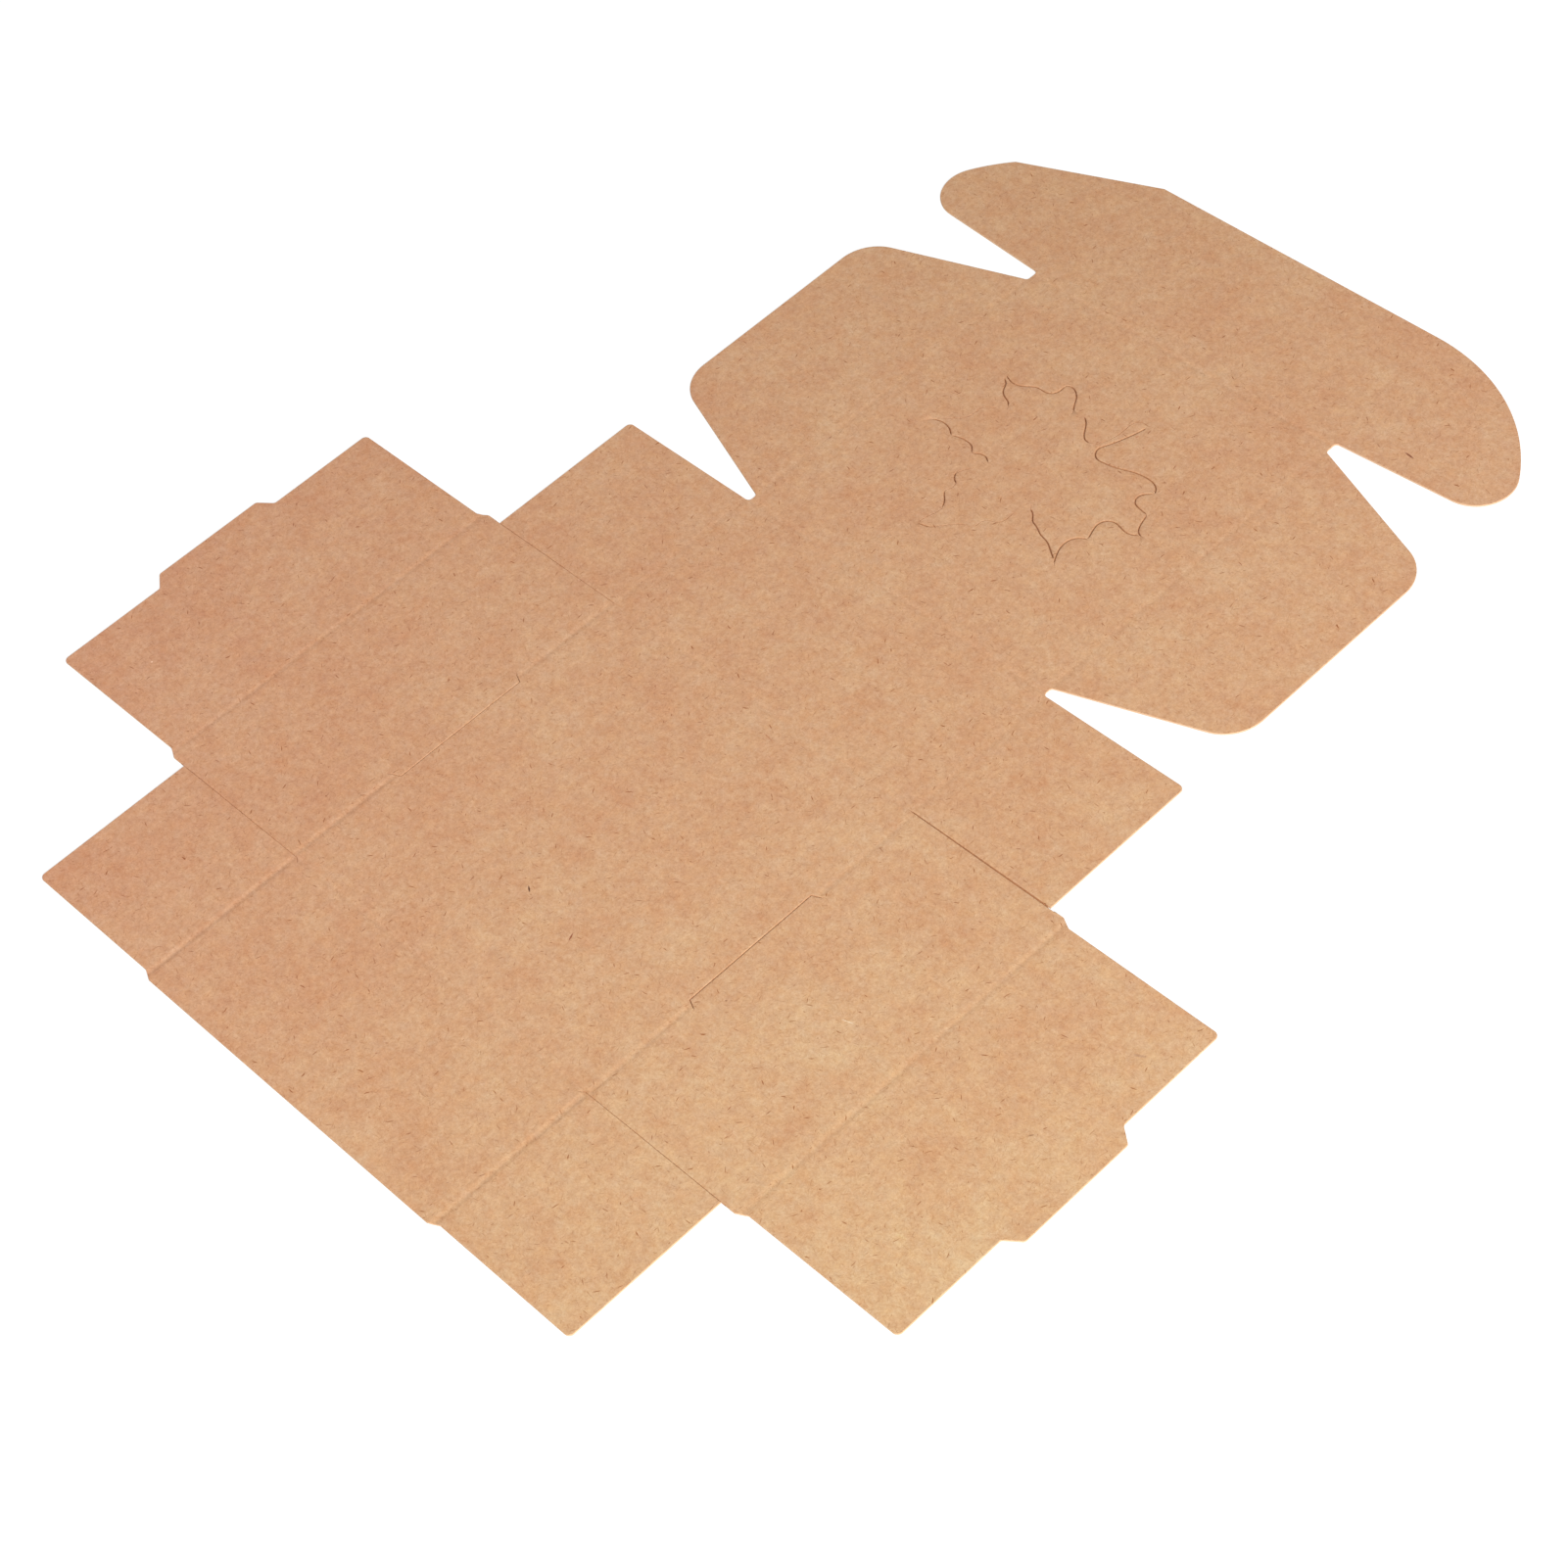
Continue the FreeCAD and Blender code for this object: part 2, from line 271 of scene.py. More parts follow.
def smooth_line(points):
    """Evenly spaced points on the smooth curve through the given ones: a natural cubic spline."""
    points = np.array(points, float)
    at = np.concatenate(([0], np.cumsum(np.linalg.norm(np.diff(points, axis=0), axis=1))))
    gap = np.diff(at)
    count = len(points)
    system = np.eye(count)
    right = np.zeros((count, 2))
    for i in range(1, count - 1):
        system[i, i - 1:i + 2] = gap[i - 1], 2 * (gap[i - 1] + gap[i]), gap[i]
        slopes = (points[i + 1] - points[i]) / gap[i] - (points[i] - points[i - 1]) / gap[i - 1]
        right[i] = 6 * slopes
    bend = np.linalg.solve(system, right)
    found = []
    steps = max(FEWEST_STROKE_STEPS, math.ceil(at[-1] / FINE_STEP))
    for t in np.linspace(0, at[-1], steps + 1):
        i = min(np.searchsorted(at, t, side="right") - 1, count - 2)
        a, b, h = at[i + 1] - t, t - at[i], gap[i]
        found.append((bend[i] * a ** 3 + bend[i + 1] * b ** 3) / (6 * h)
                     + (points[i] / h - bend[i] * h / 6) * a
                     + (points[i + 1] / h - bend[i + 1] * h / 6) * b)
    return found


def sideways(points, closed=False):
    """At each point of a line, the direction to its left, long enough to keep mitres parallel."""
    points = np.array(points)
    ahead = np.roll(points, -1, axis=0) - points
    if not closed:
        ahead[-1] = ahead[-2]
    ahead /= np.linalg.norm(ahead, axis=1, keepdims=True)
    back = np.roll(ahead, 1, axis=0)
    if not closed:
        back[0] = ahead[0]
    left = np.stack((-ahead[:, 1] - back[:, 1], ahead[:, 0] + back[:, 0]), axis=1)
    left /= np.linalg.norm(left, axis=1, keepdims=True)
    across = np.stack((-ahead[:, 1], ahead[:, 0]), axis=1)
    return left / np.clip((left * across).sum(axis=1), MITRE_LIMIT, 1)[:, None]


def mirrored(lines):
    """The lines, and the same ones on the other side."""
    return lines + [[(-x, y) for x, y in line] for line in lines]


def blank_outline():
    """The sheet's outline, anticlockwise, with the left ear's shoulder cut off."""
    ear_x = WING_CREASE + EAR_CORNER
    ear_y = TUCK_CREASE + EAR_START + EAR_CORNER * math.tan(math.radians(EAR_SLOPE))
    ear_side = (TUCK_EDGE - ear_y) / math.sin(math.radians(EAR_SIDE_ANGLE))
    shoulder_x = ear_x - ear_side * math.cos(math.radians(EAR_SIDE_ANGLE))
    tip_tangent = EAR_TIP_RADIUS / math.tan(math.radians((EAR_SIDE_ANGLE + EAR_SLOPE) / 2))
    shoulder_tangent = ear_side - tip_tangent - EAR_STRAIGHT
    shoulder_radius = shoulder_tangent / math.tan(math.radians(EAR_SIDE_ANGLE / 2))
    wing_rise = WING_WIDTH * math.tan(math.radians(WING_SLOPE))
    right_half = [
        (FLAP_CREASE - FRONT_FLAP_TAPER / 2, FRONT_EDGE, 0),
        (FLAP_CREASE + FRONT_FLAP_TAPER / 2, FRONT_EDGE + FRONT_FLAP_INSET, 0),
        (FLAP_EDGE, FRONT_EDGE + FRONT_FLAP_INSET, CORNER_FILLET),
        (FLAP_EDGE, FRONT_CREASE, 0),
        (ROLL_CREASE - ROLL_TAPER / 2, FRONT_CREASE, 0),
        (ROLL_CREASE + ROLL_TAPER / 2, FRONT_CREASE + INNER_INSET, 0),
        (SIDE_EDGE, FRONT_CREASE + INNER_INSET, CORNER_FILLET),
        (SIDE_EDGE, -TAB_BASE / 2, TAB_FILLET),
        (TAB_EDGE, TAB_TAPER - TAB_BASE / 2, TAB_FILLET),
        (TAB_EDGE, TAB_BASE / 2 - TAB_TAPER, TAB_FILLET),
        (SIDE_EDGE, TAB_BASE / 2, TAB_FILLET),
        (SIDE_EDGE, BACK_CREASE - INNER_INSET, CORNER_FILLET),
        (ROLL_CREASE + ROLL_TAPER / 2, BACK_CREASE - INNER_INSET, 0),
        (ROLL_CREASE - ROLL_TAPER / 2, BACK_CREASE, 0),
        (FLAP_EDGE, BACK_CREASE, 0),
        (FLAP_EDGE, LID_CREASE - BACK_FLAP_INSET, CORNER_FILLET),
        (WING_CREASE, LID_CREASE - BACK_FLAP_INSET, NOTCH_FILLET),
        (WING_CREASE, LID_CREASE + WING_START, NOTCH_FILLET),
        (WING_EDGE, LID_CREASE + WING_START + wing_rise, WING_FILLET),
        (WING_EDGE, TUCK_CREASE - WING_START - wing_rise, WING_FILLET),
        (WING_CREASE, TUCK_CREASE - WING_START, NOTCH_FILLET),
        (WING_CREASE, TUCK_CREASE + EAR_START, NOTCH_FILLET),
        (ear_x, ear_y, EAR_TIP_RADIUS),
        (shoulder_x, TUCK_EDGE, shoulder_radius),
    ]
    left_half = [(-x, y, radius) for x, y, radius in reversed(right_half)]
    arc_start = shoulder_tangent - shoulder_x
    arc_drop = shoulder_radius - math.sqrt(shoulder_radius ** 2 - SHOULDER_CUT ** 2)
    cut_start = np.array((arc_start + SHOULDER_START, TUCK_EDGE))
    cut_end = np.array((arc_start - SHOULDER_CUT, TUCK_EDGE - arc_drop))
    points = rounded(right_half + left_half)
    kept = [p for p in points if not (cut_end[0] < p[0] < cut_start[0] and p[1] > cut_end[1])]
    after = next(i for i, p in enumerate(kept) if p[0] <= cut_end[0] and p[1] > TUCK_CREASE)
    return spaced(kept[:after] + [cut_start, cut_end] + kept[after:], LONGEST_STEP, closed=True)


def ribbon(line, width, spread=1.0):
    """Closed outline of a cut along a line, and the way to its middle from each of its points.

    It has pointed ends; with a spread its start is that much wider, and blunt.
    """
    across = sideways(line)
    length = np.concatenate(([0], np.cumsum(np.linalg.norm(np.diff(line, axis=0), axis=1))))
    half = width / 2 * np.interp(length, (0, length[-1]), (spread, 1))
    half *= np.clip(POINT_BLUNTNESS + (length[-1] - length) / KNIFE_TAPER, 0, 1)
    if spread == 1:
        half *= np.clip(POINT_BLUNTNESS + length / KNIFE_TAPER, 0, 1)
    out = across * half[:, None]
    sides = [p - o for p, o in zip(line, out)] + [p + o for p, o in zip(line, out)][::-1]
    inward = [o for o in out] + [-o for o in out][::-1]
    return sides, inward


def knife_cuts():
    """The slits, the slots and the leaf's through cuts, as ribbons."""
    hook_x = SLIT_HOOK * math.cos(math.radians(HOOK_ANGLE))
    hook_y = SLIT_HOOK * math.sin(math.radians(HOOK_ANGLE))
    slits = mirrored([
        [(SLIT_OPEN, FRONT_CREASE), (SLIT_END, FRONT_CREASE), (SLIT_END - hook_x, FRONT_CREASE - hook_y)],
        [(SLIT_OPEN, BACK_CREASE), (SLIT_END, BACK_CREASE)],
    ])
    slots = mirrored([
        [(SIDE_CREASE + SLOT_FLARE, SLOT_HALF + SLOT_FLARE), (SLOT_LINE, SLOT_HALF),
         (SLOT_LINE, -SLOT_HALF), (SIDE_CREASE + SLOT_FLARE, -SLOT_HALF - SLOT_FLARE)],
    ])
    cuts = [ribbon(spaced(s, SLIT_STEP), width, SLIT_SPREAD) for s, width in zip(slits, SLIT_WIDTHS)]
    cuts += [ribbon(spaced(s, FINE_STEP), width) for s, width in zip(slots, SLOT_WIDTHS)]
    return cuts + [ribbon(s, LEAF_CUT_WIDTH) for s in leaf_lines(LEAF_CUTS)]


def leaf_lines(strokes):
    """Strokes of the leaf as smooth lines in their place in the lid."""
    drawn = [x for stroke in LEAF_CUTS for x, y in stroke]
    scale = LEAF_WIDTH / (max(drawn) - min(drawn))
    centre = np.array((0, (LID_CREASE + TUCK_CREASE) / 2))
    return [smooth_line(np.array(stroke) * scale + centre) for stroke in strokes]


def line_tree(lines, closed):
    """Search tree of upright strips on the lines, which finds the nearest one to a point."""
    corners, quads = [], []
    for line in lines:
        first = len(corners)
        for x, y in line:
            corners += [(x, y, -1), (x, y, 1)]
        count = len(line)
        for i in range(count if closed else count - 1):
            a, b = first + 2 * i, first + 2 * ((i + 1) % count)
            quads.append((a, b, b + 1, a + 1))
    return BVHTree.FromPolygons(corners, quads)


def nearness(lines, points, reach, closed=True):
    """For each point, 1 on one of the lines, falling to 0 at the reach from it."""
    tree = line_tree(lines, closed)
    away = np.array([tree.find_nearest((x, y, 0))[3] for x, y in points])
    return np.clip(1 - away / reach, 0, 1)


def crease_lines():
    """Every crease as (x1, y1, x2, y2), with how strongly it is pressed."""
    slit_gap = SLIT_END - CREASE_GAP
    upright = [
        (SIDE_CREASE, FRONT_CREASE + CREASE_GAP, -SLOT_END, 0.85),
        (SIDE_CREASE, SLOT_END, BACK_CREASE - CREASE_GAP, 0.55),
        (ROLL_CREASE, FRONT_CREASE - RUN_OUT, BACK_CREASE + RUN_OUT, 0.65),
        (FLAP_CREASE, FRONT_EDGE - RUN_OUT, FRONT_CREASE - CREASE_GAP, 1.0),
        (FLAP_CREASE, BACK_CREASE + CREASE_GAP, LID_CREASE + RUN_OUT, 0.35),
        (WING_CREASE, LID_CREASE + WING_START - RUN_OUT, TUCK_CREASE - WING_START + RUN_OUT, 0.4),
    ]
    level = [
        (FRONT_CREASE, slit_gap, 1.0),
        (BACK_CREASE, slit_gap, 0.6),
        (LID_CREASE, WING_CREASE, 0.6),
        (TUCK_CREASE, WING_CREASE, 0.6),
    ]
    lines = []
    for x, y1, y2, pressed in upright:
        lines += [(side * x, y1, side * x, y2, pressed) for side in (1, -1)]
    return lines + [(-half, y, half, y, pressed) for y, half, pressed in level]


def crease_relief(points):
    """How far the creases press each point, from 0 to 1."""
    relief = np.zeros(len(points))
    waves = [sum(share * noise.noise(Vector((x / length, y / length, seed)))
                 for length, share, seed in CREASE_WAVES) for x, y in points]
    for x1, y1, x2, y2, pressed in crease_lines():
        start, run = np.array((x1, y1)), np.array((x2 - x1, y2 - y1))
        along = np.clip((points - start) @ run / (run @ run), 0, 1)
        away = np.linalg.norm(points - start - along[:, None] * run, axis=1)
        groove = 0.5 + 0.5 * np.cos(np.pi * np.clip(away / CREASE_SPREAD, 0, 1))
        relief = np.maximum(relief, pressed * groove)
    return np.minimum(relief * (1 + CREASE_UNEVENNESS * np.array(waves)), 1)


class Plan:
    """Points and edges of the sheet's plan, gathered before they are triangulated."""

    def __init__(self):
        self.points = []
        self.edges = []
        self.faces = []

    def line(self, points, closed=False):
        """Adds a line, and says which points it has."""
        first = len(self.points)
        count = len(points)
        self.points += [Vector(p) for p in points]
        ends = count if closed else count - 1
        self.edges += [(first + i, first + (i + 1) % count) for i in range(ends)]
        return list(range(first, first + count))

    def region(self, points):
        """Adds a closed region: the sheet first, and then each cut in it."""
        self.faces.append(self.line(points, closed=True))

    def fill(self, low, high):
        """Adds a triangular grid of points wherever no line runs close by."""
        near = GRID_STEP / 3
        taken = {(math.floor(x / near), math.floor(y / near)) for x, y in self.points}
        for row, y in enumerate(np.arange(low[1], high[1], GRID_STEP * math.sqrt(0.75))):
            for x in np.arange(low[0] + (row % 2) * GRID_STEP / 2, high[0], GRID_STEP):
                if (math.floor(x / near), math.floor(y / near)) not in taken:
                    self.points.append(Vector((x, y)))

    def triangles(self):
        """Triangulates the first region, less the others, and drops the points that it doesn't use."""
        inside_regions = 1
        points, _, faces, _, _, regions = delaunay_2d_cdt(
            self.points, self.edges, self.faces, inside_regions, WELD, True)
        kept = [tuple(f) for f, region in zip(faces, regions) if list(region) == [0]]
        used = sorted({i for face in kept for i in face})
        place = {old: new for new, old in enumerate(used)}
        points = np.array([tuple(points[i]) for i in used])
        return points, [tuple(place[i] for i in face) for face in kept]


def sheet_plan(outline, cuts, scores):
    """The sheet's plan as points and triangles, close together wherever its surface bends."""
    plan = Plan()
    plan.region(outline)
    for sides, inward in cuts:
        plan.region(sides)
    inside = sideways(outline, closed=True)
    for offset in ROUND_STEPS:
        plan.line(np.array(outline) + inside * offset, closed=True)
    for sides, inward in cuts:
        away = -np.array(inward) / np.linalg.norm(inward, axis=1, keepdims=True)
        for offset in CUT_STEPS:
            plan.line(np.array(sides) + away * offset, closed=True)
    for line in scores:
        across = sideways(line)
        for offset in SCORE_STEPS:
            plan.line(np.array(line) + across * offset * LEAF_CUT_WIDTH / 2)
    for x1, y1, x2, y2, pressed in crease_lines():
        run = np.array((x2 - x1, y2 - y1))
        across = unit(np.array((-run[1], run[0])))
        for offset in CREASE_STEPS:
            start = np.array((x1, y1)) + across * offset
            plan.line(spaced([start, start + run], CREASE_STEP))
    plan.fill(np.min(outline, axis=0), np.max(outline, axis=0))
    return plan.triangles()


def sides_tree(cuts):
    """Search tree of the points on the sides of the cuts."""
    tree = KDTree(sum(len(sides) for sides, inward in cuts))
    for i, (x, y) in enumerate(p for sides, inward in cuts for p in sides):
        tree.insert((x, y, 0), i)
    tree.balance()
    return tree


def openness(points, cuts):
    """For each point, how wide the nearest cut is, as a share of a widely opened one."""
    widths = []
    for sides, inward in cuts:
        widths += [2 * np.linalg.norm(inward, axis=1).max()] * len(sides)
    tree = sides_tree(cuts)
    return np.array([min(widths[tree.find((x, y, 0))[1]] / WIDE_CUT, 1) for x, y in points])


def closing_ways(points, rim, cuts):
    """How far each rim point has moved at the underside, and whether it is on a cut."""
    inward = [way for sides, ways in cuts for way in ways]
    tree = sides_tree(cuts)
    near = [tree.find((*points[a], 0)) for a in rim]
    on_cut = [away < RIM_REACH for place, i, away in near]
    ways = [inward[i] * KERF_CLOSING if on else np.zeros(2) for (place, i, away), on in zip(near, on_cut)]
    return ways, on_cut


def sheet_surfaces(points, outline, cuts, scores):
    """Heights of the face and the underside, then the painted shade along the cuts and scored strokes on
    each of them.
    """
    sides = [sides for sides, inward in cuts]
    from_edge = nearness([outline] + sides, points, EDGE_ROUND)
    from_cut = nearness(sides, points, CUT_SPREAD)
    hairline = nearness(sides, points, EDGE_ROUND)
    from_score = nearness(scores, points, LEAF_CUT_WIDTH / 2, closed=False)
    opened = openness(points, cuts) ** 2
    rounding = EDGE_ROUND * (1 - np.sqrt(1 - from_edge ** 2))
    pressed = crease_relief(points)
    top = CARD - CREASE_DEPTH * pressed - rounding - CUT_PRESS * opened * from_cut ** 2
    top -= LEAF_SCORE_DEPTH * np.sqrt(from_score)
    bottom = BEAD_HEIGHT * (1 - pressed) + rounding / 2
    # Painted shade: dark in the scored strokes and on the lips of open cuts, and along the cuts' rims
    # underneath
    face_painted_shade = np.maximum(from_score, FACE_LIP_SHADE * opened * hairline)
    return top, bottom, face_painted_shade, UNDERSIDE_LIP_SHADE * hairline


def blank_mesh():
    """The creased and cut sheet as one closed mesh."""
    outline = blank_outline()
    cuts = knife_cuts()
    scores = leaf_lines(LEAF_SCORES)
    points, triangles = sheet_plan(outline, cuts, scores)
    top, bottom, face_painted_shade, underside_painted_shade = sheet_surfaces(points, outline, cuts, scores)
    rim = rim_loops(triangles)
    order = {a: i for i, (a, b) in enumerate(rim)}
    ways, on_cut = closing_ways(points, order, cuts)

    count = len(points)
    vertices = [(x, y, z) for (x, y), z in zip(points, top)]
    vertices += [(x, y, z) for (x, y), z in zip(points, bottom)]
    for a, way in zip(order, ways):
        vertices[count + a] = (*(points[a] + way), bottom[a])
    rings = [list(order)]
    noise.seed_set(PLY_SEED)
    for level in WALL_LEVELS[1:-1]:
        rings.append(list(range(len(vertices), len(vertices) + len(order))))
        for a, way in zip(order, ways):
            wave = points[a] * PLY_WAVES
            ply = noise.noise_vector(Vector((*wave, PLY_APART * level)))
            x, y = points[a] + way * level
            z = top[a] + (bottom[a] - top[a]) * level
            vertices.append((x + ply.x * PLY_SHIFT, y + ply.y * PLY_SHIFT, z))
    rings.append([count + a for a in order])
    faces = list(triangles) + [tuple(count + a for a in reversed(f)) for f in triangles]
    walls, in_kerf = [], []
    for upper, lower in zip(rings, rings[1:]):
        for a, b in rim:
            i, j = order[a], order[b]
            walls.append((upper[j], upper[i], lower[i], lower[j]))
            in_kerf.append(on_cut[i] and on_cut[j])

    mesh = bpy.data.meshes.new("blank")
    mesh.from_pydata([(x * MM, y * MM, z * MM) for x, y, z in vertices], [], faces + walls)
    materials = np.concatenate((np.zeros(len(faces), int), 1 + np.array(in_kerf, int)))
    mesh.polygons.foreach_set("material_index", materials)
    mesh.polygons.foreach_set("use_smooth", np.ones(len(materials), bool))
    places = map_places(points, triangles, rim)
    mesh.uv_layers.new(name=MAP_NAME).data.foreach_set("uv", places.ravel())
    # Painted shade along the cuts and scored strokes, kept on the vertices
    painted_cut_shade = np.concatenate((face_painted_shade, underside_painted_shade, np.zeros(len(vertices) - 2 * count)))
    mesh.attributes.new("painted_cut_shade", "FLOAT", "POINT").data.foreach_set("value", painted_cut_shade)
    mesh.update()
    return mesh


def rim_loops(triangles):
    """The edges that only one triangle has, each after the one it starts from."""
    edges = {edge for face in triangles for edge in zip(face, face[1:] + face[:1])}
    follows = {a: b for a, b in sorted(edges) if (b, a) not in edges}
    rim = []
    while follows:
        a = next(iter(follows))
        while a in follows:
            b = follows.pop(a)
            rim.append((a, b))
            a = b
    return rim


def map_places(points, triangles, rim):
    """Where each face's corners lie in the texture map, in the order of the mesh's faces."""
    low = points.min(axis=0)
    outside = MAP_MARGIN + (points - low) * OUTSIDE_SCALE
    underside = np.array(UNDERSIDE_CORNER) + (points - low) * UNDERSIDE_SCALE
    underside[:, 0] = underside[:, 0].max() + UNDERSIDE_CORNER[0] - underside[:, 0]
    places = [outside[i] for face in triangles for i in face]
    places += [underside[i] for face in triangles for i in reversed(face)]
    run = np.array([np.linalg.norm(points[b] - points[a]) * OUTSIDE_SCALE for a, b in rim])
    start = np.cumsum(run) - run
    row = np.floor(start / ROW_LENGTH)
    left = MAP_MARGIN + start - row * ROW_LENGTH
    foot = ROW_START + row * ROW_PITCH
    for upper, lower in zip(WALL_LEVELS, WALL_LEVELS[1:]):
        high, deep = foot + (1 - upper) * ROW_HEIGHT, foot + (1 - lower) * ROW_HEIGHT
        corners = np.stack((left + run, high, left, high, left, deep, left + run, deep), axis=1)
        places += list(corners.reshape(-1, 2))
    return np.array(places)


# Kraft card. Lengths in its patterns are in millimetres; colours are linear, and a change of
# colour is given for each channel. The underside has the face's patterns from another place. A
# painted light tint drifts the hue across the sheet, yellower toward the lamp's side (+X) and
# pinker away from it, less and less toward DRIFT_END.
KRAFT = (0.630, 0.354, 0.196)
KRAFT_EDGE = (0.80, 0.56, 0.37)
# The inside of a cut: the pulp darkened with painted shade
KRAFT_KERF_SHADED = (0.64, 0.34, 0.18)
UNDERSIDE_SHIFT = (37.0, 53.0, 0.0)
DRIFT_END = 133.0

# Layers of fibres: width of a cell that can hold one, its length and width, the share of cells
# that do, and where the pattern starts; each dark layer also has its strength
DARK_FIBRES = [
    ((0.9, 0.9, 0.15, 0.8, (3.1, 7.7, 0.0)), 0.20),
    ((1.6, 1.6, 0.17, 0.6, (41.3, 17.9, 0.0)), 0.24),
    ((2.4, 0.7, 0.24, 0.35, (23.7, 61.3, 0.0)), 0.40),
    ((4.0, 1.5, 0.26, 0.45, (11.9, 83.2, 0.0)), 0.52),
]
PALE_FIBRES = (1.8, 1.6, 0.16, 0.5, (63.7, 29.4, 0.0))
FIBRE_BEND = 0.9
FAINTEST_FIBRE = 0.3
FIBRE_RELIEF = 0.3
MARK_CORE = 0.4

# Bits of bark and pale fibre in the pulp: x, y, angle, length, width, and change of each channel
FLECKS = [
    (-0.8, -17.0, -34, 1.9, 0.45, (-0.80, -0.85, -0.85)),
    (13.1, -19.3, -67, 2.3, 0.42, (-0.50, -0.72, -0.78)),
    (52.2, 163.2, -7, 3.0, 0.55, (-0.58, -0.72, -0.75)),
    (103.7, 3.2, 57, 1.6, 0.26, (-0.45, -0.50, -0.55)),
    (106.7, 26.9, 29, 3.2, 0.75, (-0.18, -0.20, -0.14)),
    (7.2, 35.5, -8, 3.6, 0.38, (-0.16, -0.30, -0.36)),
    (63.8, -0.3, 18, 3.2, 0.28, (0.22, 0.50, 0.85)),
    (101.2, -25.1, 12, 2.8, 0.8, (0.08, 0.16, 0.16)),
    (-99.6, -27.8, 39, 0.6, 0.5, (0.35, 0.60, 0.80)),
    (44.5, -10.9, 40, 0.6, 0.5, (-0.40, -0.50, -0.55)),
    (50.9, 44.3, -51, 1.4, 0.26, (-0.40, -0.55, -0.60)),
    (39.2, 46.4, -72, 1.4, 0.28, (-0.35, -0.45, -0.50)),
    (8.3, 134.8, 81, 1.1, 0.4, (-0.15, -0.35, -0.40)),
]


class Shader:
    """The nodes of a material or a world, made and joined by short calls."""

    def __init__(self, owner):
        self.owner = owner
        owner.use_nodes = True
        self.tree = owner.node_tree
        self.tree.nodes.clear()

    def add(self, kind, inputs=None, **settings):
        """A node with its settings, and its inputs set or joined to what they are given."""
        node = self.tree.nodes.new("ShaderNode" + kind)
        for key, value in settings.items():
            setattr(node, key, value)
        for key, value in (inputs or {}).items():
            if isinstance(value, bpy.types.NodeSocket):
                self.tree.links.new(value, node.inputs[key])
            else:
                node.inputs[key].default_value = value
        return node

    def finish(self, output, last):
        """Joins the last node to the output's surface, and gives back what the nodes belong to."""
        self.tree.links.new(last.outputs[0], self.add(output).inputs["Surface"])
        return self.owner

    def math(self, operation, a, b=0.0):
        return self.add("Math", {0: a, 1: b}, operation=operation).outputs[0]

    def vector(self, operation, a, b=(0, 0, 0)):
        return self.add("VectorMath", {0: a, 1: b}, operation=operation).outputs[0]

    def scaled(self, vector, factor):
        return self.add("VectorMath", {0: vector, "Scale": factor}, operation="SCALE").outputs[0]

    def length(self, vector):
        return self.add("VectorMath", {0: vector}, operation="LENGTH").outputs["Value"]

    def noise(self, place, size, detail=0.0, roughness=0.5, shift=None):
        """Noise about zero, with its largest clouds as wide as size, taken from a shifted place."""
        if shift:
            place = self.vector("ADD", place, shift)
        inputs = {"Vector": place, "Scale": 1 / size, "Detail": detail, "Roughness": roughness}
        return self.math("SUBTRACT", self.add("TexNoise", inputs).outputs[0], 0.5)

    def fade(self, value, start, end):
        """1 at start, changing smoothly to 0 at end, and level beyond them."""
        inputs = {"Value": value, "From Min": start, "From Max": end, "To Min": 1.0, "To Max": 0.0}
        return self.add("MapRange", inputs, interpolation_type="SMOOTHSTEP").outputs[0]

    def fibres(self, place, cell, length, width, share, shift):
        """Short bent strokes lying every way: one in a share of the cells, with its own strength."""
        moved = self.vector("ADD", place, shift)
        waves = self.add("TexNoise", {"Vector": moved, "Scale": 0.5 / length, "Detail": 1.0})
        bend = self.vector("SUBTRACT", waves.outputs["Color"], (0.5, 0.5, 0.5))
        moved = self.vector("ADD", moved, self.scaled(bend, FIBRE_BEND * length))
        cells = self.add("TexVoronoi", {"Vector": moved, "Scale": 1 / cell}, voronoi_dimensions="2D")
        chance = self.add("SeparateColor", {0: cells.outputs["Color"]}).outputs
        angle = self.math("MULTIPLY", chance[0], math.tau)
        mark = self.stroke(moved, cells.outputs["Position"], angle, length, width)
        there = self.math("LESS_THAN", chance[1], share)
        strength = self.math("MULTIPLY", there, self.math("ADD", chance[2], FAINTEST_FIBRE))
        return self.math("MULTIPLY", mark, strength)

    def stroke(self, place, middle, angle, length, width):
        """One oval mark, which fades from MARK_CORE of its size outward."""
        across = self.vector("MULTIPLY", self.vector("SUBTRACT", place, middle), (1, 1, 0))
        inputs = {"Vector": across, "Angle": angle}
        turned = self.add("VectorRotate", inputs, rotation_type="Z_AXIS", invert=True)
        shape = self.vector("MULTIPLY", turned.outputs[0], (2 / length, 2 / width, 0))
        return self.fade(self.length(shape), MARK_CORE, 1.0)


def shift_colour(shader, colour, amount, change):
    """colour * (1 + amount * change), channel by channel."""
    factor = shader.vector("ADD", shader.scaled(change, amount), (1, 1, 1))
    return shader.vector("MULTIPLY", colour, factor)


def card_shader(name):
    """The nodes of a new material, and the place on the sheet in millimetres."""
    shader = Shader(bpy.data.materials.new(name))
    return shader, shader.scaled(shader.add("TexCoord").outputs["Object"], 1 / MM)


def matt_material(shader, colour, relief, depth, roughness, shine):
    """Joins up a dull surface whose relief is depth millimetres high."""
    bump = shader.add("Bump", {"Height": relief, "Distance": depth * MM})
    body = shader.add("BsdfPrincipled", {"Base Color": colour, "Normal": bump.outputs[0]})
    body.inputs["Roughness"].default_value = roughness
    body.inputs["Specular IOR Level"].default_value = shine
    return shader.finish("OutputMaterial", body)


